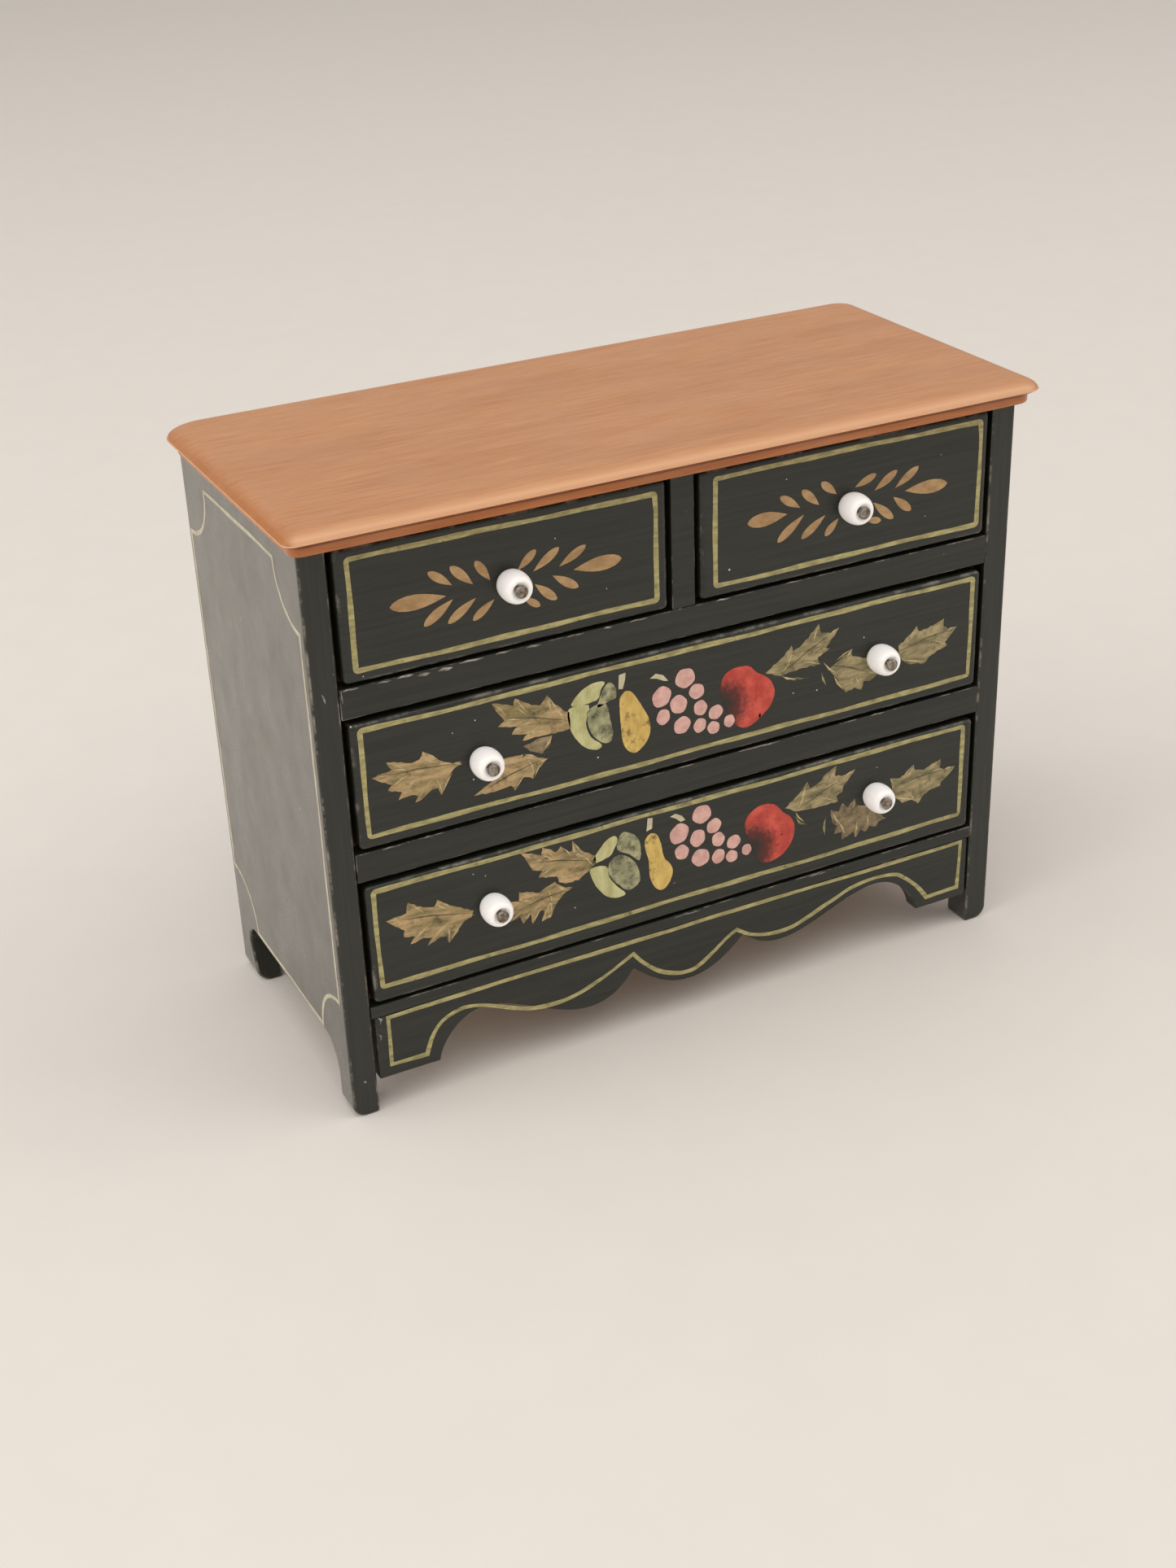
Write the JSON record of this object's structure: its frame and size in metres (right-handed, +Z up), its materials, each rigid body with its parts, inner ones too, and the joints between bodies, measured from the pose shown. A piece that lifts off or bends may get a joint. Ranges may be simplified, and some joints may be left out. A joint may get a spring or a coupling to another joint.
{
  "type": "miniature chest of drawers",
  "caption": "Dolls' house chest of drawers: painted carcass with scalloped apron and bracket feet, oversailing wooden top, sliding drawers with bead knobs.",
  "frame": {"origin": "middle of the chest's outline, with the drawers shut, on the surface that the feet stand on", "axes": "+X to the viewer's right along the top's length, -Y out of the front, the way the drawers open, +Z up"},
  "size_m": [0.0878, 0.0408, 0.069],
  "materials": {
    "black_paint": "satin green-black paint on wood, lightly worn at the edges",
    "honey_wood": "satin honey-brown stained wood",
    "bare_wood": "plain unfinished wood",
    "white_glass": "opaque white glass bead, glossy",
    "pin_steel": "dull, slightly tarnished pin"
  },
  "bodies": {
    "carcass": {"top_board": "honey_wood", "side_panel_left": "black_paint", "side_panel_right": "black_paint", "back_panel": "black_paint", "upper_shelf": "black_paint", "lower_shelf": "black_paint", "bottom_board": "black_paint", "centre_divider": "black_paint", "front_apron": "black_paint"},
    "left_drawer": {"left_drawer_front": "black_paint", "left_drawer_side_left": "bare_wood", "left_drawer_side_right": "bare_wood", "left_drawer_back": "bare_wood", "left_drawer_bottom": "bare_wood", "left_knob_bead": "white_glass", "left_knob_pin": "pin_steel"},
    "right_drawer": {"right_drawer_front": "black_paint", "right_drawer_side_left": "bare_wood", "right_drawer_side_right": "bare_wood", "right_drawer_back": "bare_wood", "right_drawer_bottom": "bare_wood", "right_knob_bead": "white_glass", "right_knob_pin": "pin_steel"},
    "middle_drawer": {"middle_drawer_front": "black_paint", "middle_drawer_side_left": "bare_wood", "middle_drawer_side_right": "bare_wood", "middle_drawer_back": "bare_wood", "middle_drawer_bottom": "bare_wood", "middle_left_knob_bead": "white_glass", "middle_left_knob_pin": "pin_steel", "middle_right_knob_bead": "white_glass", "middle_right_knob_pin": "pin_steel"},
    "bottom_drawer": {"bottom_drawer_front": "black_paint", "bottom_drawer_side_left": "bare_wood", "bottom_drawer_side_right": "bare_wood", "bottom_drawer_back": "bare_wood", "bottom_drawer_bottom": "bare_wood", "bottom_left_knob_bead": "white_glass", "bottom_left_knob_pin": "pin_steel", "bottom_right_knob_bead": "white_glass", "bottom_right_knob_pin": "pin_steel"}
  },
  "joints": [
    {"name": "left_drawer_slide", "type": "slide", "parent": "carcass", "child": "left_drawer", "axis": [0, -1, 0], "range_m": [0, 0.027]},
    {"name": "right_drawer_slide", "type": "slide", "parent": "carcass", "child": "right_drawer", "axis": [0, -1, 0], "range_m": [0, 0.027]},
    {"name": "middle_drawer_slide", "type": "slide", "parent": "carcass", "child": "middle_drawer", "axis": [0, -1, 0], "range_m": [0, 0.027]},
    {"name": "bottom_drawer_slide", "type": "slide", "parent": "carcass", "child": "bottom_drawer", "axis": [0, -1, 0], "range_m": [0, 0.027]}
  ]
}
